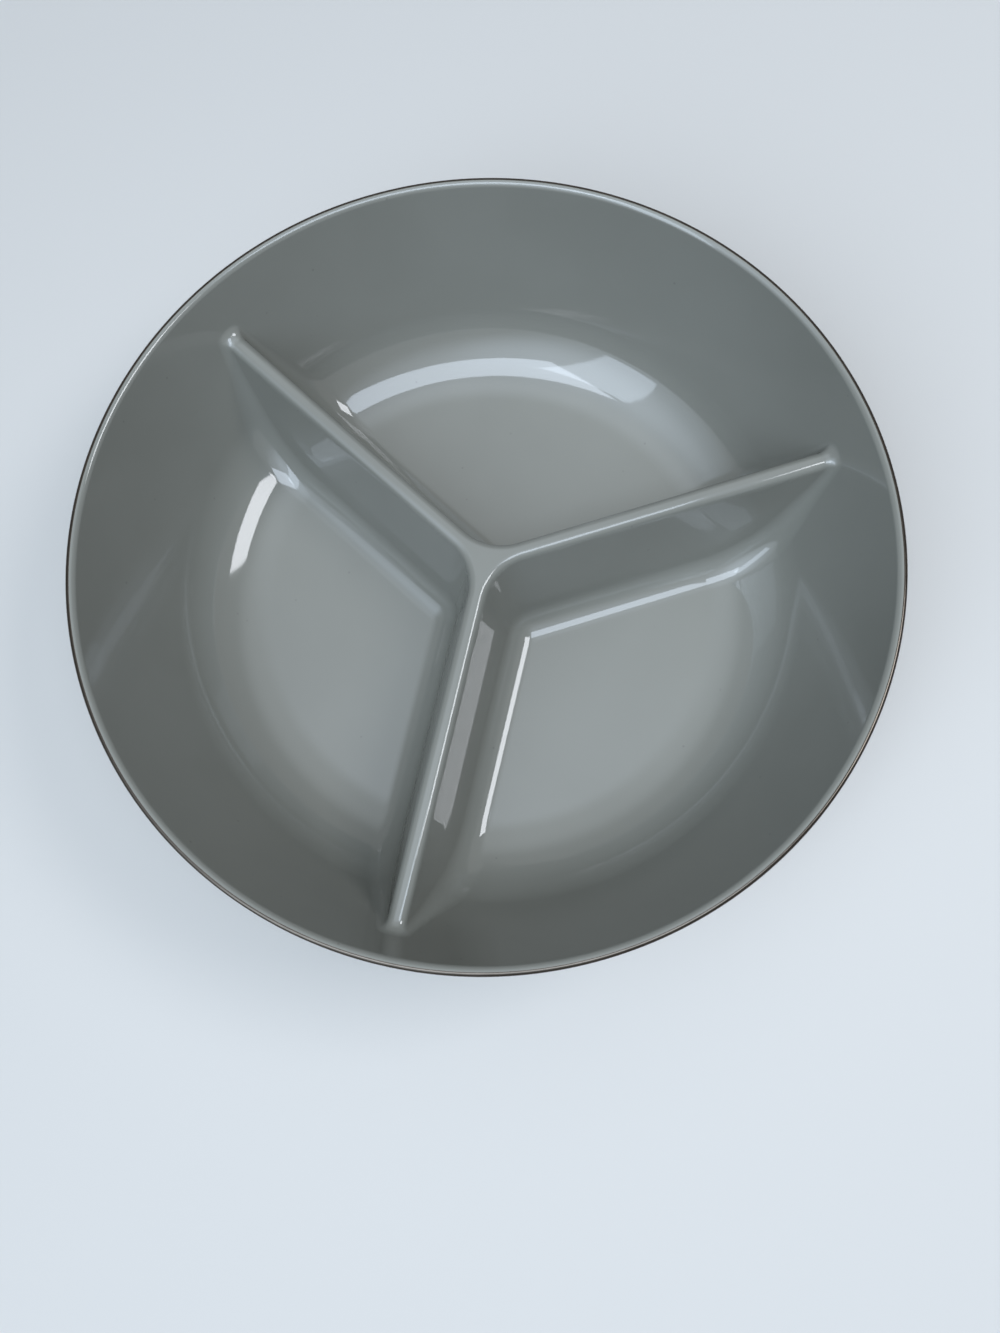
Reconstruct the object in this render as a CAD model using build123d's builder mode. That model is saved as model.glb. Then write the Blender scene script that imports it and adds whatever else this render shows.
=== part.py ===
"""Divided serving bowl: glazed porcelain shell, three dividers in a Y, foot ring and metal rim line.

Millimetres, +Z up. The origin is the centre of the plane that the foot stands on, and the
front divider runs along -Y.
"""

import os
from math import atan2, cos, degrees, radians, sin, sqrt, tan

from build123d import *

# Bowl shell
rim_radius = 125.0          # outermost radius, at the lip
inside_depth = 62.0         # from the rim down to the floor of a compartment
floor_thickness = 5.0
lip_thickness = 3.0         # the lip is a full round of this width
wall_angle = 70.0           # slope of the inner wall at the lip, in degrees from level
wall_taper = 2.0            # how much steeper the outer wall is, so the wall thickens downwards
wall_bow = 550.0            # radius of the gentle bow of the wall
floor_sweep = 31.0          # radius of the large curve from floor to wall

# Foot ring
foot_height = 5.0
foot_inset = 7.0            # from the edge of the flat underside in to the foot
foot_width = 7.0
foot_draft = 15.0           # lean of both sides of the foot, in degrees
foot_round = 1.0

# Dividers
divider_drop = 17.5         # from the rim down to the ridge
divider_draft = 10.0        # lean of each side, in degrees
ridge_width = 4.6           # width of the ridge before its edges are rounded
ridge_round = 1.3
base_fillet = 10.0          # curve from a divider into the floor and the wall
hub_corner = 10.0           # radius at floor level of the corner between two dividers
seat_depth = 1.0            # how deep the dividers are let into the shell
seat_margin = 1.2           # how far a seat reaches past the base curve

# Metal rim line
band_thickness = 0.4
band_inner_angle = 105.0    # where the line starts on the round of the lip, in degrees from level
band_outer_angle = -15.0    # where it ends on the outside
band_flats = 8              # narrow flats that the line is worked in, across its width

# Places worked out from the sizes
divider_angles = {"divider_right": 30.0, "divider_left": 150.0, "divider_front": 270.0}
sector_angle = 360.0 / len(divider_angles)
floor_under = foot_height
floor_top = floor_under + floor_thickness
rim_height = floor_top + inside_depth
ridge_height = rim_height - divider_drop
divider_height = inside_depth - divider_drop
divider_spread = divider_height * tan(radians(divider_draft))
fillet_reach = base_fillet * tan(radians(45.0 - divider_draft / 2))
lip_radius = lip_thickness / 2
lip_center = Vector(rim_radius - lip_radius, rim_height - lip_radius)
block_bury = lip_radius     # how far the dividers run into the shell before they are parted
seat_head = ridge_width / 2 + fillet_reach + seat_margin
seat_foot = seat_head + divider_spread
seat_bottom = floor_top - seat_depth
seat_top = ridge_height + fillet_reach + seat_margin


def polar(angle, radius=1.0):
    """A point of a section at an angle in degrees from level."""
    return Vector(radius * cos(radians(angle)), radius * sin(radians(angle)))


def bowl_centers(lip, slope, floor, sweep):
    """Centres of a bowl's wall circle and floor curve.

    The wall's circle passes through the lip point with the given slope, and the floor's curve
    is the circle of radius sweep that touches both the floor and the wall's circle.
    """
    wall_center = lip + polar(slope + 90, wall_bow)
    sweep_z = floor + sweep
    reach = sqrt((wall_bow - sweep) ** 2 - (sweep_z - wall_center.Y) ** 2)
    return wall_center, Vector(wall_center.X + reach, sweep_z)


def bowl_curve(lip, slope, floor, sweep):
    """Draws the floor, floor curve and bowed wall of a bowl, from the axis out to its lip point."""
    wall_center, sweep_center = bowl_centers(lip, slope, floor, sweep)
    toward = sweep_center - wall_center
    join_angle = degrees(atan2(toward.Y, toward.X))
    Line((0, floor), (sweep_center.X, floor))
    CenterArc(sweep_center, sweep, -90, join_angle + 90)
    CenterArc(wall_center, wall_bow, join_angle, slope - 90 - join_angle)


def inner_surface(outward=0.0):
    """Lip point, slope, floor and floor curve of the inside, or of a surface that lies outward of it."""
    lip = lip_center + polar(wall_angle + 90, lip_radius - outward)
    return lip, wall_angle, floor_top - outward, floor_sweep + outward


def outer_surface():
    """Lip point, slope, floor and floor curve of the outside."""
    slope = wall_angle + wall_taper
    return lip_center + polar(slope - 90, lip_radius), slope, floor_under, floor_sweep + floor_thickness


def cavity(outward):
    """The hollow of the bowl, grown outward by an even amount, up to its lip point."""
    with BuildPart() as hollow:
        with BuildSketch(Plane.XZ):
            with BuildLine():
                lip, slope, floor, sweep = inner_surface(outward)
                bowl_curve(lip, slope, floor, sweep)
                Polyline(lip, (0, lip.Y), (0, floor))
            make_face()
        revolve(axis=Axis.Z)
    return hollow.part


# Metal line: a thin skin of the lip's round between two angles about its centre
flat_angle = (band_inner_angle - band_outer_angle) / band_flats
band_angles = [band_outer_angle + flat_angle * step for step in range(band_flats + 1)]
band_face = [lip_center + polar(angle, lip_radius) for angle in band_angles]
band_bed = [lip_center + polar(angle, lip_radius - band_thickness) for angle in band_angles]
with BuildPart() as rim_band:
    with BuildSketch(Plane.XZ):
        with BuildLine():
            Polyline(*band_bed, *reversed(band_face), close=True)
        make_face()
    revolve(axis=Axis.Z)
rim_band.part.label = "rim_band"

# Section of the shell: a floor and wall under a round lip, rebated for the metal line
with BuildSketch(Plane.XZ) as wall_section:
    with BuildLine():
        lip_inner = wall_angle + 90
        lip_outer = wall_angle + wall_taper - 90
        bowl_curve(*inner_surface())
        bowl_curve(*outer_surface())
        CenterArc(lip_center, lip_radius, band_inner_angle, lip_inner - band_inner_angle)
        CenterArc(lip_center, lip_radius, lip_outer, band_outer_angle - lip_outer)
        Polyline(band_face[0], *band_bed, band_face[-1])
        Line((0, floor_under), (0, floor_top))
    make_face()

# The three dividers as one tapered block that runs into the shell's wall
block_hollow = cavity(block_bury)
with BuildPart() as divider_block:
    with BuildSketch(Plane.XY.offset(ridge_height)) as ridge_plan:
        with PolarLocations(0, len(divider_angles), start_angle=min(divider_angles.values())):
            Rectangle(2 * rim_radius, ridge_width, align=(Align.MIN, Align.CENTER))
        hub_points = ridge_plan.vertices().sort_by(SortBy.DISTANCE)[: len(divider_angles)]
        fillet(hub_points, radius=hub_corner + divider_spread)
    extrude(amount=divider_height + block_bury, dir=(0, 0, -1), taper=-divider_draft)
    ridge_edges = divider_block.faces().sort_by(Axis.Z)[-1].edges()
    fillet(ridge_edges, radius=ridge_round)
    add(block_hollow, mode=Mode.INTERSECT)

# Shell and dividers together, with the curves where they run into each other
with BuildPart() as joined_body:
    add(wall_section.sketch)
    revolve(axis=Axis.Z)
    add(divider_block.part)
    fillet(joined_body.edges(Select.NEW), radius=base_fillet)

# Each divider with its base curves and the pad that is let into the shell, mitred at the hub
dividers = {}
seat_hollow = cavity(seat_depth)
for name, angle in divider_angles.items():
    along = Plane(origin=(0, 0, 0), x_dir=polar(angle + 90), z_dir=polar(angle))
    with BuildPart() as divider:
        with BuildSketch(along):
            Polygon(
                (-seat_foot, seat_bottom),
                (seat_foot, seat_bottom),
                (seat_head, ridge_height),
                (seat_head, seat_top),
                (-seat_head, seat_top),
                (-seat_head, ridge_height),
                align=None,
            )
        extrude(amount=rim_radius)
        for side in (-1, 1):
            mitre = Plane(origin=(0, 0, 0), z_dir=polar(angle - side * (90 - sector_angle / 2)))
            split(bisect_by=mitre, keep=Keep.TOP)
        add(seat_hollow, mode=Mode.INTERSECT)
        add(joined_body.part, mode=Mode.INTERSECT)
    divider.part.label = name
    dividers[name] = divider.part

# The shell is what the dividers and the metal line leave
with BuildPart() as bowl_shell:
    add(joined_body.part)
    for part in dividers.values():
        add(part, mode=Mode.SUBTRACT)
bowl_shell.part.label = "bowl_shell"

# Foot ring under the floor, with a ground face that the bowl stands on
underside_radius = bowl_centers(*outer_surface())[1].X
foot_radius = underside_radius - foot_inset
with BuildPart() as foot_ring:
    with BuildSketch(Plane.XZ) as foot_section:
        with BuildLine():
            foot_lean = foot_height * tan(radians(foot_draft))
            Polyline(
                (foot_radius - foot_width, foot_height),
                (foot_radius - foot_width + foot_lean, 0),
                (foot_radius - foot_lean, 0),
                (foot_radius, foot_height),
                close=True,
            )
        make_face()
        fillet(foot_section.vertices().group_by(Axis.Y)[0], radius=foot_round)
    revolve(axis=Axis.Z)
foot_ring.part.label = "foot_ring"

os.makedirs("parts", exist_ok=True)
for piece in (bowl_shell.part, foot_ring.part, rim_band.part, *dividers.values()):
    export_step(piece, f"parts/{piece.label}.step")
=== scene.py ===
"""Divided serving bowl in grey glazed porcelain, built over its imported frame.

The glazed inside is worked out from two distances: how far a point stands off the bowl's hollow
and how far it stands off a divider. Near both of them a ball rolls along the two surfaces, and the
path of its skin joins them. The ball is large at the floor and small at the ends of the ridges.
All lengths are metres.
"""

from math import pi, radians
from typing import NamedTuple

import bpy
import numpy as np
from bpy.props import FloatProperty, FloatVectorProperty, PointerProperty
from mathutils import Matrix, Vector


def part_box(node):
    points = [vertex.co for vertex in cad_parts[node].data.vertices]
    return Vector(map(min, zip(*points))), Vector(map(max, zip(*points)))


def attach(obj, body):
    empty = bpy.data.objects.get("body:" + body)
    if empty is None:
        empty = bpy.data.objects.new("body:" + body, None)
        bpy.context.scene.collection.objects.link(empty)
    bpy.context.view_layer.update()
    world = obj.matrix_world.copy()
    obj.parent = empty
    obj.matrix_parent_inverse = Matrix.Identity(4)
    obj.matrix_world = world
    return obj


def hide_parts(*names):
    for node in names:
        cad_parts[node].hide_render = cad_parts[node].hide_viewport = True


bl_info = {
    "name": "Divided Serving Bowl",
    "version": (1, 0, 0),
    "blender": (4, 5, 0),
    "location": "3D View > Sidebar > Divided Bowl",
    "description": "Builds a glazed three-part serving bowl with a metal rim line",
    "category": "Add Mesh",
}

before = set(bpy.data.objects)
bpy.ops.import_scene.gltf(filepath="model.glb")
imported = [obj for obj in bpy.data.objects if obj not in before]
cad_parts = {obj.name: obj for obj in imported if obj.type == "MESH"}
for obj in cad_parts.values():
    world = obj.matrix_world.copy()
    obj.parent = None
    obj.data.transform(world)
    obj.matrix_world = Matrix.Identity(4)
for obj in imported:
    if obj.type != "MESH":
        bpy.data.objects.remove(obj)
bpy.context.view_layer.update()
rim_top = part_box("rim_band")[1]
foot_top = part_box("foot_ring")[1]

quarter_turn = pi / 2
divider_angles = {"right": radians(30), "left": radians(150), "front": radians(270)}
sector = 2 * pi / len(divider_angles)

# Mesh density
compartment_columns = 96
divider_columns = 112
seat_columns = 8
hub_rows = 44
seat_rows = 168
wall_rows = 12
outside_rows = 48
arc_steps = 12
weld = 1e-7
halvings = 46
slope_step = 1e-6
least_length = 1e-15
least_radius = 1e-12
least_squared_sine = 1e-9
ground_share = 0.25

# Finishes
noise_middle = (0.35, 0.65)
noise_spread = (0.3, 0.7)
glaze_index = 1.66
glaze_cloud_scale = 16.0
glaze_speck_scale = 95.0
glaze_speck_edge = (0.02, 0.05)
glaze_speck_strength = 0.6
glaze_gloss_scale = 60.0
glaze_gloss_spread = 0.2
glaze_sway_scale = 9.0
glaze_sway_height = 0.0006
glaze_ripple_scale = 180.0
glaze_ripple_height = 0.00001
bare_grain_scale = 900.0
bare_grain_height = 0.00004
bare_grain_shade = 0.86
bare_roughness = (0.62, 0.8)
metal_brush_scale = 120.0
metal_brush_shade = 0.8
metal_roughness = (0.1, 0.2)
metal_ripple_scale = 700.0
metal_ripple_height = 0.00001

# Plain floor of the stage
floor_reach = 4.0
floor_drop = 0.0002
floor_roughness = 0.8

# The photograph's picture, in its own pixels
picture_width = 1000
picture_height = 1333
sensor_width = 36.0


class SoftLight(NamedTuple):
    """A soft panel of light: its direction from the rim's centre, its size and its light."""

    azimuth: float
    elevation: float
    width: float
    length: float
    radiance: float
    colour: tuple


class SoftGlow(NamedTuple):
    """A glow of the room: its direction, the angles where it starts and ends fading, and its light."""

    azimuth: float
    elevation: float
    full: float
    faded: float
    light: tuple


panel_distance = 1.1
soft_lights = {
    "overhead_panel": SoftLight(
        azimuth=radians(-66),
        elevation=radians(72),
        width=0.8,
        length=0.46,
        radiance=4.0,
        colour=(0.88, 1.0, 1.16),
    ),
    "left_panel": SoftLight(
        azimuth=radians(-120),
        elevation=radians(45),
        width=0.3,
        length=0.9,
        radiance=2.6,
        colour=(0.86, 1.0, 1.17),
    ),
    "right_panel": SoftLight(
        azimuth=radians(17),
        elevation=radians(55),
        width=0.42,
        length=0.34,
        radiance=8.0,
        colour=(0.97, 1.0, 1.06),
    ),
}
soft_glows = {
    "front": SoftGlow(
        azimuth=radians(-95),
        elevation=radians(67),
        full=radians(10),
        faded=radians(45),
        light=(0.96, 1.1, 1.28),
    ),
    "left": SoftGlow(
        azimuth=radians(-120),
        elevation=radians(45),
        full=radians(10),
        faded=radians(40),
        light=(0.86, 1.04, 1.24),
    ),
    "back": SoftGlow(
        azimuth=radians(105),
        elevation=radians(70),
        full=radians(8),
        faded=radians(34),
        light=(0.64, 0.7, 0.75),
    ),
}


def length_property(name, description, default):
    """A length of the bowl that a user may change."""
    return FloatProperty(
        name=name, description=description, default=default, min=0, unit="LENGTH", precision=5
    )


def angle_property(name, description, degrees):
    """An angle that a user may change."""
    return FloatProperty(name=name, description=description, default=radians(degrees), subtype="ANGLE")


def colour_property(name, description, default):
    """A colour, in linear light, that a user may change."""
    solid = (*default, 1.0)
    return FloatVectorProperty(
        name=name, description=description, default=solid, size=4, min=0, max=1, subtype="COLOR"
    )


def plain_property(name, description, default, most=10000.0):
    """A plain number, such as a share or a count of pixels, that a user may change."""
    return FloatProperty(name=name, description=description, default=default, min=0, max=most)


class DividedBowlSizes(bpy.types.PropertyGroup):
    """Sizes of the bowl's shell, dividers, rim line and foot."""

    rim_radius: length_property("Rim radius", "Outermost radius, at the lip", rim_top.x)
    rim_height: length_property("Rim height", "From the table to the top of the lip", rim_top.z)
    inside_depth: length_property("Inside depth", "From the rim to the floor", 0.062)
    lip_edge: length_property("Lip edge", "Radius of the lip's outer edge", 0.001)
    lip_roll: length_property("Lip roll", "Radius from the top of the lip into the inside", 0.0022)
    wall_angle: angle_property("Wall angle", "Slope of the inner wall at the lip", 70)
    wall_taper: angle_property("Wall taper", "How much steeper the outer wall is", 2)
    wall_bow: length_property("Wall bow", "Radius of the wall's gentle bow", 0.55)
    floor_sweep: length_property("Floor sweep", "Radius of the curve from floor to wall", 0.031)
    divider_drop: length_property("Divider drop", "From the rim to a divider's ridge", 0.0175)
    divider_draft: angle_property("Divider draft", "Lean of a divider's sides", 10)
    ridge_width: length_property("Ridge width", "Width of a ridge before its edges are rounded", 0.0052)
    ridge_round: length_property("Ridge round", "Radius of a ridge's edges", 0.0026)
    base_curve: length_property("Base curve", "Radius from a divider into the floor", 0.010)
    side_curve: length_property("Side curve", "Radius into the wall beside the end of a ridge", 0.003)
    end_curve: length_property("End curve", "Radius from the end of a ridge into the wall", 0.005)
    hub_corner: length_property("Hub corner", "Radius between two dividers at the floor", 0.010)
    seat_margin: length_property("Seat margin", "How far a seat reaches past the curves", 0.0006)
    seat_depth: length_property("Seat depth", "How deep a divider is let into the shell", 0.001)
    band_thickness: length_property("Line thickness", "Thickness of the metal line", 0.0004)
    band_inner: angle_property("Line inner edge", "Where the line starts on the lip", 97)
    band_outer: angle_property("Line outer edge", "Where the line ends on the outside", -15)
    foot_radius: length_property("Foot radius", "Outer radius of the foot at its root", foot_top.x)
    foot_height: length_property("Foot height", "Height of the foot ring", foot_top.z)
    foot_width: length_property("Foot width", "Width of the foot at its root", 0.007)
    foot_draft: angle_property("Foot draft", "Lean of the foot's sides", 15)
    foot_round: length_property("Foot round", "Radius of the foot's lower edges", 0.001)
    foot_root: length_property("Foot root", "Radius of the glaze between foot and floor", 0.0015)


class DividedBowlFinish(bpy.types.PropertyGroup):
    """Colours and gloss of the glaze, the bare porcelain and the metal line."""

    glaze: colour_property("Glaze", "Colour of the glaze", (0.197, 0.198, 0.174))
    glaze_pale: colour_property("Pale glaze", "Colour where it is thinner", (0.213, 0.214, 0.189))
    speck: colour_property("Speck", "Colour of the specks under the glaze", (0.147, 0.146, 0.128))
    bare: colour_property("Bare porcelain", "Colour of the ground foot face", (0.62, 0.60, 0.56))
    # Dark metal of the rim line, set darker still as painted reflection: the colour stands in for the
    # dark surroundings that the line mirrors.
    metal: colour_property("Metal", "Colour of the rim line", (0.085, 0.074, 0.063))
    glaze_roughness: plain_property("Glaze roughness", "How blurred its reflections are", 0.05, 1)


class DividedBowlStage(bpy.types.PropertyGroup):
    """Floor, light and viewpoint."""

    floor: colour_property("Floor", "Colour of the plain floor", (0.62, 0.6, 0.57))
    light_level: plain_property("Light level", "Brightness of all panels and glows", 1.0)
    room: colour_property("Room", "Colour of the light from all around", (0.02, 0.02, 0.02))
    backdrop: colour_property("Backdrop", "Colour of the room as seen and mirrored", (0.4, 0.41, 0.41))
    focal_pixels: plain_property("Focal length", "In pixels of the picture", 1100)
    view_tilt: angle_property("View tilt", "How steeply the camera looks down", 76.10)
    view_roll: angle_property("View roll", "Turn of the picture", -6.06)
    view_turn: angle_property("View turn", "Turn of the bowl about its axis", 18.84)
    view_depth: length_property("View depth", "From the camera to the rim's centre", 0.32775)
    rim_centre_x: plain_property("Rim centre X", "Pixel column of the rim's centre", 482.8)
    rim_centre_y: plain_property("Rim centre Y", "Pixel row of the rim's centre", 541.5)


def heading(angle):
    """Unit vector at an angle: its cosine and its sine."""
    return np.stack([np.cos(angle), np.sin(angle)], axis=-1)


def unit(vectors):
    """Vectors scaled to length one."""
    return vectors / np.maximum(np.linalg.norm(vectors, axis=-1, keepdims=True), least_length)


def eased(share):
    """A share held between 0 and 1, with smooth ends: three squares less two cubes."""
    held = np.clip(share, 0, 1)
    return held * held * (3 - 2 * held)


def halved(low, high, short_of):
    """Places in the spans from low to high up to which short_of holds, by halving the spans."""
    for _ in range(halvings):
        middle = (low + high) / 2
        short = short_of(middle)
        low = np.where(short, middle, low)
        high = np.where(short, high, middle)
    return (low + high) / 2


class BowlCurve:
    """Half section of a bowl's surface: a level floor, a floor curve and a bowed wall.

    The wall is an arc of a large circle that reaches the lip point with a given slope. The floor
    curve is the circle of radius sweep that touches the floor and the wall's circle.
    """

    def __init__(self, lip, slope, floor, sweep, bow):
        self.floor = floor
        self.sweep = sweep
        self.bow = bow
        self.wall_center = lip + bow * heading(slope + quarter_turn)
        sweep_height = floor + sweep
        reach = np.sqrt((bow - sweep) ** 2 - (sweep_height - self.wall_center[1]) ** 2)
        self.sweep_center = np.array([self.wall_center[0] + reach, sweep_height])
        toward = self.sweep_center - self.wall_center
        self.join = np.arctan2(toward[1], toward[0])
        self.floor_end = self.sweep_center[0]
        self.sweep_end = self.floor_end + sweep * (self.join + quarter_turn)
        self.wall_end = self.sweep_end + bow * (slope - quarter_turn - self.join)

    def at(self, along):
        """Points at lengths along the section from the axis, and their normals into the hollow."""
        level = along <= self.floor_end
        swept = along <= self.sweep_end
        sweep_angle = (along - self.floor_end) / self.sweep - quarter_turn
        wall_angle = (along - self.sweep_end) / self.bow + self.join
        outward = heading(np.select([level, swept], [-quarter_turn, sweep_angle], wall_angle))
        on_floor = np.stack([along, np.full_like(along, self.floor)], axis=-1)
        on_sweep = self.sweep_center + self.sweep * outward
        on_wall = self.wall_center + self.bow * outward
        points = np.select([level[:, None], swept[:, None]], [on_floor, on_sweep], on_wall)
        return points, -outward

    def gap(self, radius, height):
        """Distance of points from the section, positive in the hollow, and the way it grows."""
        level = radius <= self.floor_end
        from_sweep = np.stack([radius, height], axis=-1) - self.sweep_center
        from_wall = np.stack([radius, height], axis=-1) - self.wall_center
        swept = np.arctan2(from_sweep[..., 1], from_sweep[..., 0]) <= self.join
        center_way = np.where(swept[..., None], from_sweep, from_wall)
        size = np.linalg.norm(center_way, axis=-1)
        gap = np.where(level, height - self.floor, np.where(swept, self.sweep, self.bow) - size)
        inward = np.where(level[..., None], (0.0, 1.0), -unit(center_way))
        return gap, inward


class BowlForm:
    """Places and surfaces of the bowl, worked out from its sizes.

    A divider's own surfaces are worked out with X along it from the hub, Y across it and Z up.
    """

    def __init__(self, sizes):
        self.sizes = sizes
        self.lip_inner = sizes.wall_angle + quarter_turn
        self.lip_outer = sizes.wall_angle + sizes.wall_taper - quarter_turn
        floor_top = sizes.rim_height - sizes.inside_depth
        thickness = floor_top - sizes.foot_height
        self.inside = BowlCurve(
            self.lip_point(self.lip_inner),
            sizes.wall_angle,
            floor_top,
            sizes.floor_sweep,
            sizes.wall_bow,
        )
        self.outside = BowlCurve(
            self.lip_point(self.lip_outer),
            sizes.wall_angle + sizes.wall_taper,
            sizes.foot_height,
            sizes.floor_sweep + thickness,
            sizes.wall_bow,
        )
        self.ridge_height = sizes.rim_height - sizes.divider_drop
        self.ridge_half = sizes.ridge_width / 2
        self.lean = np.tan(sizes.divider_draft)
        self.divider_height = self.ridge_height - floor_top
        spread = self.divider_height * self.lean
        corner_reach = self.ridge_half + sizes.hub_corner + spread
        self.corner = np.array([corner_reach / np.tan(sector / 2), corner_reach])
        self.seat_start = self.seat_limit(0, self.inside.floor_end, sector / 2)
        self.seat_end = self.seat_limit(self.inside.sweep_end, self.inside.wall_end, 0)

    def lip_point(self, angle, depth=0.0):
        """A point of the lip where its normal has an angle, or one that lies under it by a depth.

        Two circles touch at the top of the lip: the outer edge, and the roll into the inside.
        """
        sizes = self.sizes
        radius = np.where(angle > quarter_turn, sizes.lip_roll, sizes.lip_edge)
        top = np.full_like(radius, sizes.rim_radius - sizes.lip_edge)
        center = np.stack([top, sizes.rim_height - radius], axis=-1)
        return center + (radius - depth)[..., None] * heading(angle)

    def divider_gap(self, x, y, z):
        """Distance of points from a divider, and the way it grows.

        In plan the distance is taken from the divider's middle line, or near the hub from the
        circle that rounds the corner between two dividers. The sides lean back from there. The
        ridge is level, and its two edges are rounded by a circle that touches ridge and side.
        """
        draft = self.sizes.divider_draft
        ridge_round = self.sizes.ridge_round
        straight = x >= self.corner[0]
        to_corner = self.corner - np.stack([x, np.abs(y)], axis=-1)
        offset = np.where(straight, np.abs(y), self.corner[1] - np.linalg.norm(to_corner, axis=-1))
        plan_way = np.where(straight[..., None], (0.0, 1.0), unit(to_corner))
        above = z - self.ridge_height
        aside = (offset - self.ridge_half + above * self.lean) * np.cos(draft)
        rise = above + ridge_round
        run = (aside + ridge_round - rise * np.sin(draft)) / np.cos(draft)
        size = np.hypot(rise, run)
        rounded = (run > 0) & (rise > (aside + ridge_round) * np.sin(draft))
        on_side = aside > above
        gap = np.where(rounded, size - ridge_round, np.maximum(aside, above))
        run_way = np.where(rounded, run / size, np.where(on_side, np.cos(draft), 0.0))
        rise_way = np.where(rounded, rise / size, np.where(on_side, np.sin(draft), 1.0))
        along_way = plan_way[..., 0] * run_way
        across_way = plan_way[..., 1] * run_way * np.sign(y)
        return gap, np.stack([along_way, across_way, rise_way], axis=-1)

    def ball_radius(self, z, upward):
        """Radius of the rolling ball at heights, for a divider whose normal rises by upward.

        Along the sides it eases from the base curve at the floor to the side curve at the ridge.
        Where the divider faces up, at the end of its ridge, it eases to the end curve.
        """
        sizes = self.sizes
        depth = eased((self.ridge_height - z) / self.divider_height)
        beside = sizes.side_curve + (sizes.base_curve - sizes.side_curve) * depth
        lean = np.sin(sizes.divider_draft)
        return beside + (sizes.end_curve - beside) * eased((upward - lean) / (1 - lean))

    def gaps(self, x, y, z):
        """Distances of points from bowl and divider, the cosine of their ways, and the ball's radius."""
        radius = np.hypot(x, y)
        bowl_gap, bowl_way = self.inside.gap(radius, z)
        side_gap, side_way = self.divider_gap(x, y, z)
        around = np.stack([x, y], axis=-1) / np.maximum(radius, least_radius)[..., None]
        outward_way = np.sum(around * side_way[..., :2], axis=-1)
        upward = side_way[..., 2]
        cosine = bowl_way[..., 0] * outward_way + bowl_way[..., 1] * upward
        return bowl_gap, side_gap, cosine, self.ball_radius(z, upward)

    def in_seat(self, along, angle):
        """Whether points of the bowl's section, at angles from a divider, lie in the divider's seat.

        The ball touches the bowl where the divider is one radius off, less its cosine's share.
        """
        radius, height = self.inside.at(along)[0].T
        _, side_gap, cosine, ball = self.gaps(radius * np.cos(angle), radius * np.sin(angle), height)
        return side_gap < ball * (1 - cosine) + self.sizes.seat_margin

    def seat_limit(self, low, high, angle):
        """Length along the bowl's section, in a span, up to which a seat reaches at an angle."""
        return halved(np.array([low]), np.array([high]), lambda along: self.in_seat(along, angle))[0]

    def glaze_gap(self, x, y, z):
        """Distance of points from the glazed inside, positive in the hollow.

        With a and b the depths of a point inside the ball's reach of bowl and divider, and c the
        cosine between the two normals, the ball's skin is where (a a + b b - 2 a b c) / (1 - c c)
        is the square of its radius.
        """
        bowl_gap, side_gap, cosine, ball = self.gaps(x, y, z)
        a = ball - bowl_gap
        b = ball - side_gap
        rolling = (a > b * cosine) & (b > a * cosine)
        squared_sine = np.maximum(1 - cosine * cosine, least_squared_sine)
        squared = (a * a + b * b - 2 * a * b * cosine) / squared_sine
        return np.where(rolling, ball - np.sqrt(np.maximum(squared, 0)), np.minimum(bowl_gap, side_gap))

    def glaze_height(self, x, y, bowl_height):
        """Height of the glazed inside over points of the plan."""
        low = np.broadcast_to(bowl_height, x.shape) - self.sizes.seat_depth
        high = np.maximum(low, self.ridge_height) + 2 * self.sizes.base_curve
        return halved(low, high, lambda height: self.glaze_gap(x, y, height) < 0)

    def glaze_normal(self, x, y, z):
        """Normals of the glazed inside: the way in which the distance from it grows fastest."""
        step = slope_step
        growth = [
            self.glaze_gap(x + step, y, z) - self.glaze_gap(x - step, y, z),
            self.glaze_gap(x, y + step, z) - self.glaze_gap(x, y - step, z),
            self.glaze_gap(x, y, z + step) - self.glaze_gap(x, y, z - step),
        ]
        return unit(np.stack(growth, axis=-1))

    def seat_half_angle(self, along):
        """Half the angle of a divider's seat at lengths along the bowl's section.

        It reaches the mitre plane at most, and the seat ends in a point.
        """
        mitre = np.full_like(along, sector / 2)
        half = halved(np.zeros_like(along), mitre, lambda angle: self.in_seat(along, angle))
        return np.where(along < self.seat_end - weld, half, 0)

    def hub_lengths(self):
        """Rows of a divider's seat from the axis to the corner where a compartment begins."""
        return np.linspace(0, self.seat_start, hub_rows)

    def seat_lengths(self):
        """Rows of a seat from that corner to its end on the wall, closer together at both ends."""
        share = (1 - np.cos(np.linspace(0, pi, seat_rows))) / 2
        return self.seat_start + (self.seat_end - self.seat_start) * share


def carry_round(section, normals, angles):
    """Carries each point of a section round the axis to its own row of angles."""
    around = heading(np.broadcast_to(angles, (len(section), angles.shape[-1])))

    def placed(values):
        level = np.broadcast_to(values[:, None, 1:], around.shape[:2] + (1,))
        return np.concatenate([values[:, None, :1] * around, level], axis=-1)

    return placed(section), placed(normals)


def turned(grid, angle):
    """A grid of points or normals turned about the axis."""
    cosine, sine = heading(angle)
    return grid @ np.array([[cosine, sine, 0], [-sine, cosine, 0], [0, 0, 1]])


def side_strip(upper, lower, facing):
    """A strip of faces between two edges, with normals square to it on the side that facing shows."""
    square = unit(np.cross(np.gradient(upper, axis=0), lower - upper))
    square = square * np.sign(np.sum(square * facing, axis=-1, keepdims=True))
    return np.stack([upper, lower]), np.stack([square, square])


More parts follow.
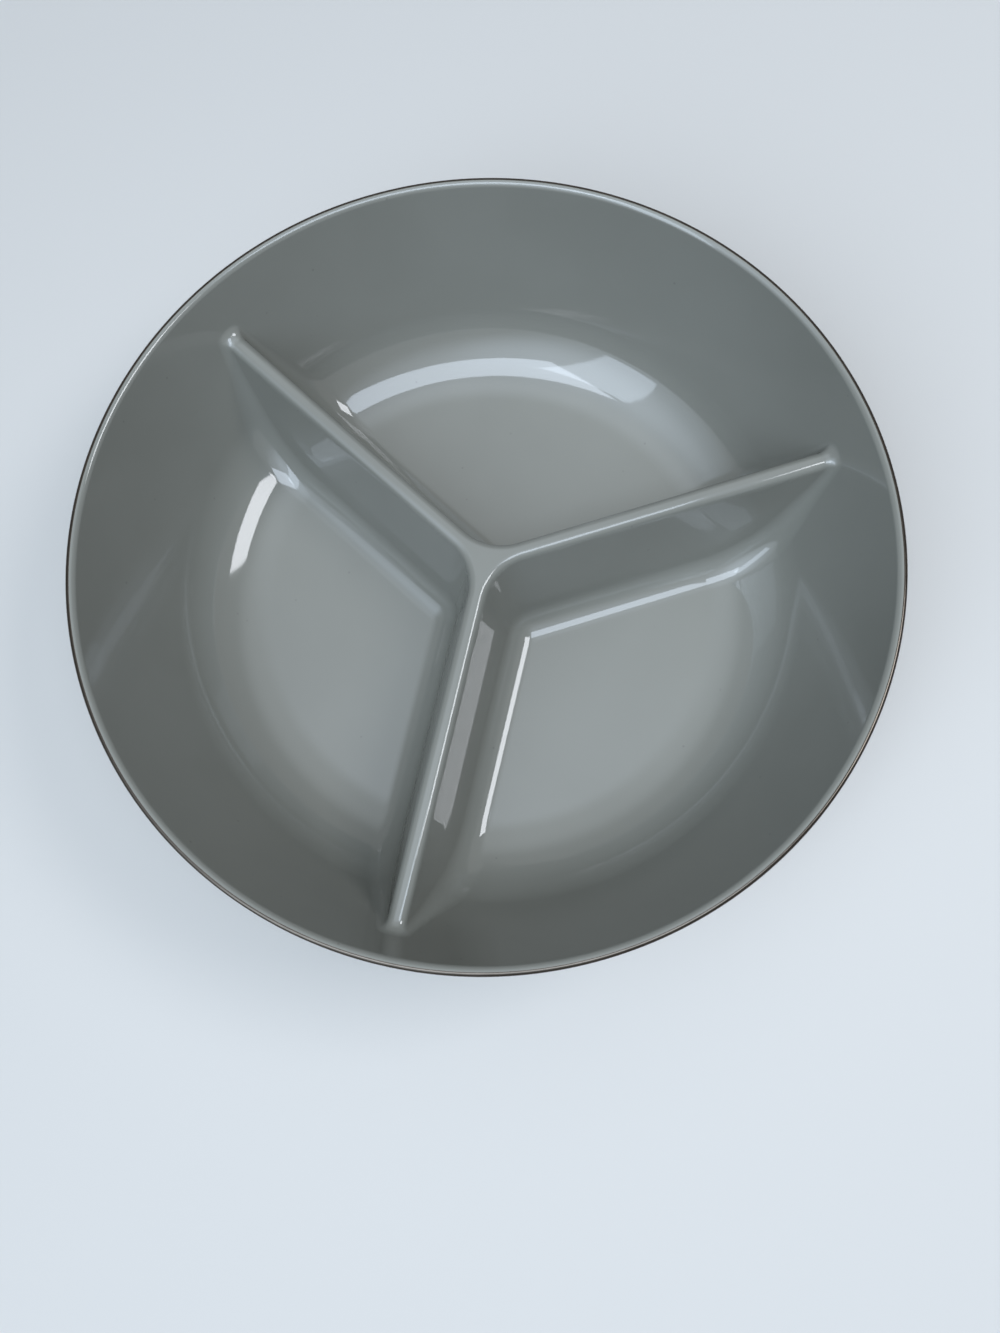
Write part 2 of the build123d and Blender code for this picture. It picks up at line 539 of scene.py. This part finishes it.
def grid_quads(points, normals):
    """Corner numbers of a grid's faces, wound so that they face along its normals."""
    rows, columns = points.shape[:2]
    index = np.arange(rows * columns).reshape(rows, columns)
    around = (index[:-1, :-1], index[1:, :-1], index[1:, 1:], index[:-1, 1:])
    quads = np.stack(around, axis=-1).reshape(-1, 4)
    corners = points.reshape(-1, 3)[quads]
    facing = np.cross(corners[:, 2] - corners[:, 0], corners[:, 3] - corners[:, 1])
    agreement = np.sum(facing * normals.reshape(-1, 3)[quads].mean(axis=1))
    return quads if agreement > 0 else quads[:, ::-1]


def piece_mesh(name, grids):
    """Joins grids of points and normals into one closed mesh.

    Points that fall together are merged, and a face that a pole has narrowed loses its double
    corner. Every corner keeps the normal of its own grid, so edges between grids can be sharp.
    """
    points = np.concatenate([grid.reshape(-1, 3) for grid, _ in grids])
    normals = np.concatenate([grid.reshape(-1, 3) for _, grid in grids])
    starts = np.cumsum([0] + [grid.size // 3 for grid, _ in grids])
    quads = np.concatenate([grid_quads(*grid) + start for grid, start in zip(grids, starts)])
    places = np.round(points / weld)
    _, first, merged = np.unique(places, axis=0, return_index=True, return_inverse=True)
    corners = merged.ravel()[quads]
    kept = corners != np.roll(corners, -1, axis=1)
    kept[kept.sum(axis=1) < 3] = False
    sides = kept.sum(axis=1)
    sides = sides[sides > 0]
    mesh = bpy.data.meshes.new(name)
    mesh.vertices.add(len(first))
    mesh.vertices.foreach_set("co", points[first].ravel())
    mesh.loops.add(int(sides.sum()))
    mesh.loops.foreach_set("vertex_index", corners[kept])
    mesh.polygons.add(len(sides))
    mesh.polygons.foreach_set("loop_start", np.cumsum(sides) - sides)
    mesh.polygons.foreach_set("use_smooth", np.ones(len(sides), dtype=bool))
    mesh.update(calc_edges=True)
    mesh.normals_split_custom_set(normals[quads][kept])
    return mesh


def add_piece(name, grids, materials, node):
    """Makes a piece of the bowl that stands for a CAD node, with the materials it is given, and hides
    that node.
    """
    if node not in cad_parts:
        raise RuntimeError(f"the frame has no node {node} for {name}")
    mesh = piece_mesh(name, grids)
    for material in materials:
        mesh.materials.append(material)
    piece = bpy.data.objects.new(name, mesh)
    bpy.context.scene.collection.objects.link(piece)
    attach(piece, "root")
    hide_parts(node)
    return piece


def full_circle():
    """Angles once round the bowl, in step with the columns of the three compartments."""
    start = min(divider_angles.values())
    return start + np.linspace(0, 2 * pi, len(divider_angles) * compartment_columns + 1)


def arc_grid(form, start, end, depth=0.0, side=1):
    """The lip between two angles of its normal, or a layer under it, carried round the bowl."""
    angles = np.linspace(start, end, arc_steps)
    return carry_round(form.lip_point(angles, depth), side * heading(angles), full_circle())


def step_grid(form, angle, depth, way):
    """A narrow step across the lip at an angle of its normal, from the surface down to a depth."""
    section = np.stack([form.lip_point(angle), form.lip_point(angle, depth)])
    normals = np.broadcast_to(heading(angle + way * quarter_turn), section.shape)
    return carry_round(section, normals, full_circle())


def shell_grids(form):
    """The shell: three compartments, the seats of the dividers, the lip and the outside."""
    sizes = form.sizes
    hub = form.hub_lengths()
    seat = form.seat_lengths()
    wall = np.linspace(form.seat_end, form.inside.wall_end, wall_rows)
    across = np.linspace(0, 1, compartment_columns + 1)
    floor_rows = np.concatenate([seat, wall[1:]])
    floor, floor_normals = form.inside.at(floor_rows)
    half = form.seat_half_angle(floor_rows)[:, None]
    bed_rows = np.concatenate([hub, seat[1:]])
    bed, bed_normals = form.inside.at(bed_rows)
    bed_half = form.seat_half_angle(bed_rows)[:, None]
    bed_points = bed - sizes.seat_depth * bed_normals
    bed_across = np.linspace(-1, 1, seat_columns + 1)
    grids = []
    for angle in divider_angles.values():
        grids.append(carry_round(floor, floor_normals, angle + half + across * (sector - 2 * half)))
        bottom = carry_round(bed_points, bed_normals, angle + bed_half * bed_across)
        rim = carry_round(bed, bed_normals, angle + bed_half * bed_across)
        grids.append(bottom)
        for edge, side in ((0, 1), (-1, -1)):
            facing = turned(np.array([0.0, side, 0.0]), angle)
            upper = rim[0][hub_rows - 1:, edge]
            grids.append(side_strip(upper, bottom[0][hub_rows - 1:, edge], facing))
    thickness = sizes.band_thickness
    grids.append(arc_grid(form, form.lip_inner, sizes.band_inner))
    grids.append(step_grid(form, sizes.band_inner, thickness, -1))
    grids.append(arc_grid(form, sizes.band_inner, sizes.band_outer, thickness))
    grids.append(step_grid(form, sizes.band_outer, thickness, 1))
    grids.append(arc_grid(form, sizes.band_outer, form.lip_outer))
    curve = form.outside
    skin = np.linspace(curve.wall_end, curve.floor_end, outside_rows)
    under = np.linspace(curve.floor_end, 0, wall_rows)
    outside, inward = curve.at(np.concatenate([skin, under[1:]]))
    grids.append(carry_round(outside, -inward, full_circle()))
    return grids


def divider_grids(form, angle):
    """One divider: its glazed top, the underside that lies in its seat, and the faces between."""
    sizes = form.sizes
    rows = np.concatenate([form.hub_lengths(), form.seat_lengths()[1:]])
    section, inward = form.inside.at(rows)
    half = form.seat_half_angle(rows)[:, None]
    angles = half * np.linspace(-1, 1, divider_columns + 1)
    x = section[:, :1] * np.cos(angles)
    y = section[:, :1] * np.sin(angles)
    z = form.glaze_height(x, y, section[:, 1:])
    top = np.stack([x, y, z], axis=-1)
    bottom, bottom_normals = carry_round(section - sizes.seat_depth * inward, -inward, angles)
    grids = [(top, form.glaze_normal(x, y, z)), (bottom, bottom_normals)]
    for edge, side in ((0, -1), (-1, 1)):
        grids.append(side_strip(top[:, edge], bottom[:, edge], np.array([0.0, side, 0.0])))
    return [(turned(points, angle), turned(normals, angle)) for points, normals in grids]


def band_grids(form):
    """The metal line: a thin skin of the lip between two angles of its normal."""
    sizes = form.sizes
    thickness = sizes.band_thickness
    return [
        arc_grid(form, sizes.band_inner, sizes.band_outer),
        step_grid(form, sizes.band_inner, thickness, 1),
        arc_grid(form, sizes.band_inner, sizes.band_outer, thickness, -1),
        step_grid(form, sizes.band_outer, thickness, -1),
    ]


def rounded_path(corners, radii):
    """Straight runs between corners of a section, with an arc at each inner corner.

    Each stretch comes with normals that point to the right of its travel. An arc has a radius of
    its own. It starts where it touches the first run, and turns about a centre that lies one
    radius to the side.
    """
    runs = np.diff(corners, axis=0)
    ways = np.arctan2(runs[:, 1], runs[:, 0])
    turns = np.diff(ways)
    cuts = np.concatenate([[0], np.abs(radii * np.tan(turns / 2)), [0]])
    starts = corners[:-1] + cuts[:-1, None] * heading(ways)
    ends = corners[1:] - cuts[1:, None] * heading(ways)
    stretches = []
    for i, way in enumerate(ways):
        run = np.stack([starts[i], ends[i]])
        stretches.append((run, np.broadcast_to(heading(way - quarter_turn), run.shape)))
        if i < len(turns):
            angles = np.linspace(way, ways[i + 1], arc_steps)
            signed = np.sign(turns[i]) * radii[i]
            center = ends[i] + signed * heading(way + quarter_turn)
            right = heading(angles - quarter_turn)
            stretches.append((center + signed * right, right))
    return stretches


def foot_grids(form):
    """The foot ring: leaning sides, rounded lower edges, and a root that runs into the underside."""
    sizes = form.sizes
    outer = sizes.foot_radius
    inner = outer - sizes.foot_width
    root = sizes.foot_height
    lean = sizes.foot_height * np.tan(sizes.foot_draft)
    reach = 2 * sizes.foot_root
    corners = np.array([
        (inner - reach, root),
        (inner, root),
        (inner + lean, 0),
        (outer - lean, 0),
        (outer, root),
        (outer + reach, root),
    ])
    radii = np.array([sizes.foot_root, sizes.foot_round, sizes.foot_round, sizes.foot_root])
    stretches = rounded_path(corners, radii)
    lid = np.stack([stretches[-1][0][-1], stretches[0][0][0]])
    stretches.append((lid, np.array([(0.0, 1.0), (0.0, 1.0)])))
    return [carry_round(section, normals, full_circle()) for section, normals in stretches]


class Finish:
    """A material, with short calls that add nodes and set or link their sockets."""

    def __init__(self, name):
        self.material = bpy.data.materials.new(name)
        self.material.use_nodes = True
        self.tree = self.material.node_tree
        self.shader = next(node for node in self.tree.nodes if node.type == "BSDF_PRINCIPLED")
        self.place = self.tree.nodes.new("ShaderNodeTexCoord").outputs["Object"]

    def put(self, socket, value):
        """Links a socket to another node's output, or sets its value."""
        if isinstance(value, bpy.types.NodeSocket):
            self.tree.links.new(value, socket)
        else:
            socket.default_value = value

    def surface(self, **values):
        """Sets sockets of the surface shader, with underscores for spaces."""
        for name, value in values.items():
            self.put(self.shader.inputs[name.replace("_", " ")], value)

    def noise(self, scale, detail=2.0, roughness=0.5):
        """Even noise over the piece's own coordinates."""
        node = self.tree.nodes.new("ShaderNodeTexNoise")
        self.put(node.inputs["Vector"], self.place)
        self.put(node.inputs["Scale"], scale)
        self.put(node.inputs["Detail"], detail)
        self.put(node.inputs["Roughness"], roughness)
        return node.outputs["Fac"]

    def spots(self, scale):
        """Distance from scattered points over the piece's own coordinates."""
        node = self.tree.nodes.new("ShaderNodeTexVoronoi")
        self.put(node.inputs["Vector"], self.place)
        self.put(node.inputs["Scale"], scale)
        return node.outputs["Distance"]

    def span(self, value, source, target=(0.0, 1.0)):
        """A value carried from one span to another, and held at its ends."""
        node = self.tree.nodes.new("ShaderNodeMapRange")
        for name, number in zip(("From Min", "From Max", "To Min", "To Max"), (*source, *target)):
            self.put(node.inputs[name], number)
        self.put(node.inputs["Value"], value)
        return node.outputs["Result"]

    def mix(self, share, first, second):
        """Two colours mixed by a share."""
        node = self.tree.nodes.new("ShaderNodeMix")
        node.data_type = "RGBA"
        self.put(node.inputs["Factor"], share)
        self.put(node.inputs["A"], first)
        self.put(node.inputs["B"], second)
        return node.outputs["Result"]

    def bump(self, height, distance, below=None):
        """Normals of a height map with a real depth, over another bump if there is one."""
        node = self.tree.nodes.new("ShaderNodeBump")
        self.put(node.inputs["Height"], height)
        self.put(node.inputs["Distance"], distance)
        if below is not None:
            self.put(node.inputs["Normal"], below)
        return node.outputs["Normal"]


def glaze_material(look):
    """Grey glaze: a faintly uneven colour with few specks, under a gloss that is not quite flat."""
    finish = Finish("grey_glaze")
    cloud = finish.span(finish.noise(glaze_cloud_scale, detail=3.0), noise_middle)
    tone = finish.mix(cloud, look.glaze[:], look.glaze_pale[:])
    speck = finish.span(finish.spots(glaze_speck_scale), glaze_speck_edge, (glaze_speck_strength, 0.0))
    smooth = look.glaze_roughness * (1 - glaze_gloss_spread)
    rough = look.glaze_roughness * (1 + glaze_gloss_spread)
    sway = finish.bump(finish.noise(glaze_sway_scale, detail=1.0), glaze_sway_height)
    ripple = finish.noise(glaze_ripple_scale, detail=1.0)
    finish.surface(
        Base_Color=finish.mix(speck, tone, look.speck[:]),
        Roughness=finish.span(finish.noise(glaze_gloss_scale), noise_spread, (smooth, rough)),
        Normal=finish.bump(ripple, glaze_ripple_height, sway),
        IOR=glaze_index,
    )
    return finish.material


def bare_material(look):
    """Bare fired porcelain: pale, matt and faintly grainy, where the foot is ground."""
    finish = Finish("bare_porcelain")
    grain = finish.noise(bare_grain_scale, detail=4.0, roughness=0.6)
    shaded = (*(bare_grain_shade * part for part in look.bare[:3]), 1.0)
    finish.surface(
        Base_Color=finish.mix(finish.span(grain, noise_middle), shaded, look.bare[:]),
        Roughness=finish.span(grain, noise_spread, bare_roughness),
        Normal=finish.bump(grain, bare_grain_height),
    )
    return finish.material


def metal_material(look):
    """Fired metal line: brushed on by hand, so its gloss and tone vary a little along it. Its dark
    colour is partly the metal's own and partly a painted reflection of dark surroundings.
    """
    finish = Finish("rim_metal_with_painted_dark_reflection")
    brush = finish.noise(metal_brush_scale, detail=3.0, roughness=0.6)
    shaded = (*(metal_brush_shade * part for part in look.metal[:3]), 1.0)
    finish.surface(
        Base_Color=finish.mix(finish.span(brush, noise_middle), shaded, look.metal[:]),
        Metallic=1.0,
        Roughness=finish.span(brush, noise_spread, metal_roughness),
        Normal=finish.bump(finish.noise(metal_ripple_scale), metal_ripple_height),
    )
    return finish.material


def shared_glaze(look):
    """The one glaze that shell, dividers and foot share."""
    return bpy.data.materials.get("grey_glaze") or glaze_material(look)


class DIVIDEDBOWL_OT_shell(bpy.types.Operator):
    """Make the glazed shell, with its compartments, lip and underside"""

    bl_idname = "divided_bowl.shell"
    bl_label = "Make Shell"

    def execute(self, context):
        form = BowlForm(context.scene.divided_bowl_sizes)
        glaze = shared_glaze(context.scene.divided_bowl_finish)
        add_piece("glazed_shell", shell_grids(form), [glaze], "bowl_shell")
        return {"FINISHED"}


class DIVIDEDBOWL_OT_dividers(bpy.types.Operator):
    """Make the three dividers that meet at the hub"""

    bl_idname = "divided_bowl.dividers"
    bl_label = "Make Dividers"

    def execute(self, context):
        form = BowlForm(context.scene.divided_bowl_sizes)
        glaze = shared_glaze(context.scene.divided_bowl_finish)
        for name, angle in divider_angles.items():
            node = f"divider_{name}"
            add_piece(f"glazed_{node}", divider_grids(form, angle), [glaze], node)
        return {"FINISHED"}


class DIVIDEDBOWL_OT_rim_line(bpy.types.Operator):
    """Make the metal line on the lip"""

    bl_idname = "divided_bowl.rim_line"
    bl_label = "Make Rim Line"

    def execute(self, context):
        form = BowlForm(context.scene.divided_bowl_sizes)
        metal = metal_material(context.scene.divided_bowl_finish)
        add_piece("metal_rim_line", band_grids(form), [metal], "rim_band")
        return {"FINISHED"}


class DIVIDEDBOWL_OT_foot(bpy.types.Operator):
    """Make the foot ring, glazed on its sides and bare where it stands"""

    bl_idname = "divided_bowl.foot"
    bl_label = "Make Foot"

    def execute(self, context):
        form = BowlForm(context.scene.divided_bowl_sizes)
        look = context.scene.divided_bowl_finish
        materials = [shared_glaze(look), bare_material(look)]
        piece = add_piece("porcelain_foot", foot_grids(form), materials, "foot_ring")
        faces = piece.data.polygons
        centers = np.empty(3 * len(faces))
        faces.foreach_get("center", centers)
        ground = centers[2::3] < ground_share * form.sizes.foot_round
        faces.foreach_set("material_index", ground.astype(np.int32))
        return {"FINISHED"}


def stage_floor(stage):
    """A large plain floor, just under the foot."""
    finish = Finish("plain_floor")
    finish.surface(Base_Color=stage.floor[:], Roughness=floor_roughness)
    mesh = bpy.data.meshes.new("floor")
    sides = ((-1, -1), (1, -1), (1, 1), (-1, 1))
    corners = [(x * floor_reach, y * floor_reach, -floor_drop) for x, y in sides]
    mesh.from_pydata(corners, [], [(0, 1, 2, 3)])
    mesh.materials.append(finish.material)
    floor = bpy.data.objects.new("floor", mesh)
    bpy.context.scene.collection.objects.link(floor)


def toward(light):
    """Unit vector to a panel or a glow."""
    return Vector((*np.cos(light.elevation) * heading(light.azimuth), np.sin(light.elevation)))


def stage_room(stage):
    """A dim room with a pale backdrop, and glows that fade with the angle from their middle.

    A glow's share is a smooth step of the cosine of that angle, and the glows add up.
    """
    world = bpy.data.worlds.new("room")
    world.use_nodes = True
    nodes = world.node_tree.nodes
    link = world.node_tree.links.new
    rays = nodes.new("ShaderNodeLightPath").outputs
    seen = rays["Is Camera Ray"]
    for kind in ("Is Glossy Ray", "Is Transmission Ray"):
        either = nodes.new("ShaderNodeMath")
        either.operation = "MAXIMUM"
        link(seen, either.inputs[0])
        link(rays[kind], either.inputs[1])
        seen = either.outputs["Value"]

    def mixed(blend, share, first, second):
        node = nodes.new("ShaderNodeMix")
        node.data_type = "RGBA"
        node.blend_type = blend
        link(share, node.inputs["Factor"])
        if isinstance(first, bpy.types.NodeSocket):
            link(first, node.inputs["A"])
        else:
            node.inputs["A"].default_value = first
        node.inputs["B"].default_value = second
        return node.outputs["Result"]

    colour = mixed("MIX", seen, stage.room[:], stage.backdrop[:])
    place = nodes.new("ShaderNodeTexCoord").outputs["Generated"]
    for glow in soft_glows.values():
        nearness = nodes.new("ShaderNodeVectorMath")
        nearness.operation = "DOT_PRODUCT"
        nearness.inputs[1].default_value = toward(glow)
        link(place, nearness.inputs[0])
        share = nodes.new("ShaderNodeMapRange")
        share.interpolation_type = "SMOOTHSTEP"
        share.inputs["From Min"].default_value = np.cos(glow.faded)
        share.inputs["From Max"].default_value = np.cos(glow.full)
        link(nearness.outputs["Value"], share.inputs["Value"])
        light = (*(stage.light_level * part for part in glow.light), 1.0)
        colour = mixed("ADD", share.outputs["Result"], colour, light)
    link(colour, nodes["Background"].inputs["Color"])
    bpy.context.scene.world = world


def stage_lights(stage, center):
    """Soft panels that face the rim's centre."""
    for name, panel in soft_lights.items():
        lamp = bpy.data.lights.new(name, "AREA")
        lamp.shape = "RECTANGLE"
        lamp.size = panel.width
        lamp.size_y = panel.length
        lamp.color = panel.colour
        lamp.energy = stage.light_level * panel.radiance * pi * panel.width * panel.length
        light = bpy.data.objects.new(name, lamp)
        way = toward(panel)
        turn = (-way).to_track_quat("-Z", "Y").to_matrix().to_4x4()
        light.matrix_world = Matrix.Translation(center + way * panel_distance) @ turn
        light.visible_camera = False
        bpy.context.scene.collection.objects.link(light)


def stage_camera(stage, center):
    """A camera that sees the rim's centre at the photograph's pixel, tilt, roll and distance."""
    forward = np.array([0, np.cos(stage.view_tilt), -np.sin(stage.view_tilt)])
    level = np.array([1, 0, 0])
    upright = np.cross(level, forward)
    cosine, sine = heading(stage.view_roll)
    right = cosine * level + sine * upright
    up = cosine * upright - sine * level
    off_x = (stage.rim_centre_x - picture_width / 2) / stage.focal_pixels
    off_y = (stage.rim_centre_y - picture_height / 2) / stage.focal_pixels
    place = -stage.view_depth * (forward + off_x * right - off_y * up)
    axes = Matrix((right, up, -forward)).transposed().to_4x4()
    lens = bpy.data.cameras.new("camera")
    lens.sensor_fit = "HORIZONTAL"
    lens.sensor_width = sensor_width
    lens.lens = stage.focal_pixels / picture_width * sensor_width
    camera = bpy.data.objects.new("camera", lens)
    bowl_turn = Matrix.Rotation(stage.view_turn, 4, "Z")
    camera.matrix_world = Matrix.Translation(center) @ bowl_turn @ Matrix.Translation(place) @ axes
    bpy.context.scene.collection.objects.link(camera)
    bpy.context.scene.camera = camera


class DIVIDEDBOWL_OT_stage(bpy.types.Operator):
    """Make the plain floor, the soft light and the camera"""

    bl_idname = "divided_bowl.stage"
    bl_label = "Make Stage"

    def execute(self, context):
        stage = context.scene.divided_bowl_stage
        sizes = context.scene.divided_bowl_sizes
        center = Vector((0, 0, sizes.rim_height - sizes.lip_edge))
        stage_floor(stage)
        stage_room(stage)
        stage_lights(stage, center)
        stage_camera(stage, center)
        context.scene.view_settings.view_transform = "Standard"
        return {"FINISHED"}


class DIVIDEDBOWL_PT_panel(bpy.types.Panel):
    """Sizes, finish and steps of the divided bowl"""

    bl_label = "Divided Bowl"
    bl_idname = "DIVIDEDBOWL_PT_panel"
    bl_space_type = "VIEW_3D"
    bl_region_type = "UI"
    bl_category = "Divided Bowl"

    def draw(self, context):
        for group in (
            context.scene.divided_bowl_sizes,
            context.scene.divided_bowl_finish,
            context.scene.divided_bowl_stage,
        ):
            box = self.layout.box()
            for name in group.__annotations__:
                box.prop(group, name)
        for operator in piece_operators:
            self.layout.operator(operator.bl_idname)


piece_operators = (
    DIVIDEDBOWL_OT_shell,
    DIVIDEDBOWL_OT_dividers,
    DIVIDEDBOWL_OT_rim_line,
    DIVIDEDBOWL_OT_foot,
    DIVIDEDBOWL_OT_stage,
)
property_groups = {
    "divided_bowl_sizes": DividedBowlSizes,
    "divided_bowl_finish": DividedBowlFinish,
    "divided_bowl_stage": DividedBowlStage,
}


def register():
    """Registers the property groups, the operators and the panel."""
    for name, group in property_groups.items():
        bpy.utils.register_class(group)
        setattr(bpy.types.Scene, name, PointerProperty(type=group))
    for operator in piece_operators:
        bpy.utils.register_class(operator)
    bpy.utils.register_class(DIVIDEDBOWL_PT_panel)


def unregister():
    """Removes what register added."""
    bpy.utils.unregister_class(DIVIDEDBOWL_PT_panel)
    for operator in reversed(piece_operators):
        bpy.utils.unregister_class(operator)
    for name, group in property_groups.items():
        delattr(bpy.types.Scene, name)
        bpy.utils.unregister_class(group)


def main():
    """Builds the bowl and its stage."""
    register()
    bpy.ops.divided_bowl.shell()
    bpy.ops.divided_bowl.dividers()
    bpy.ops.divided_bowl.rim_line()
    bpy.ops.divided_bowl.foot()
    bpy.ops.divided_bowl.stage()


if __name__ == "__main__":
    main()
